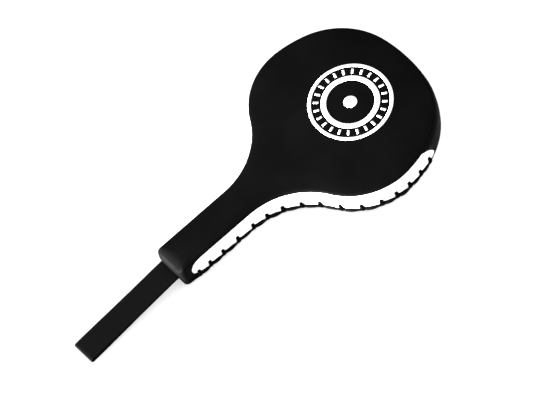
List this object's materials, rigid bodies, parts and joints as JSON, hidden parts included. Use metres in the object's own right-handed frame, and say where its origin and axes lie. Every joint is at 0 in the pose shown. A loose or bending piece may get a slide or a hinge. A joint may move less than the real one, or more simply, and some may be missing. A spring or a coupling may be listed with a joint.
{
  "type": "kick paddle",
  "caption": "Padded leather striking paddle: flat round head, stiff handle, laced back edge, pale side gussets and a webbing wrist loop hinged at the butt.",
  "frame": {"origin": "middle of the footprint of strap and paddle together, on the surface the paddle lies on", "axes": "+X from the strap to the tip, +Y to the left seen from the strike face with the tip ahead, +Z out of the strike face"},
  "size_m": [0.4582, 0.2122, 0.0342],
  "materials": {
    "black_leather": "matte fine-grain coated leather",
    "white_leather": "smooth white coated leather, slightly soft",
    "soft_foam": "soft open foam under the strike face",
    "firm_foam": "firm closed-cell foam",
    "plywood": "thin plywood",
    "hardwood": "plain beech",
    "rivet_steel": "nickel-plated steel",
    "webbing": "ribbed black webbing",
    "lace": "round waxed lace",
    "print_film": "matte white transfer film"
  },
  "bodies": {
    "paddle": {"front_cover": "black_leather", "back_cover": "black_leather", "side_gusset_left": "white_leather", "side_gusset_right": "white_leather", "tip_gusset": "black_leather", "face_foam": "soft_foam", "strike_foam": "firm_foam", "back_foam": "firm_foam", "core_board": "plywood", "grip_block_front": "hardwood", "grip_block_back": "hardwood", "grip_rivets": "rivet_steel", "rivet_washers": "rivet_steel", "strap_root": "webbing", "edge_lacing_right": "lace", "edge_lacing_left": "lace", "lace_knots": "lace", "target_print": "print_film"},
    "wrist_strap": {"wrist_strap": "webbing"}
  },
  "joints": [
    {"name": "strap_flex", "type": "hinge", "parent": "paddle", "child": "wrist_strap", "pos_m": [-0.10575, 0, 0.0176], "axis": [0, 1, 0], "range_deg": [-80, 85]}
  ]
}
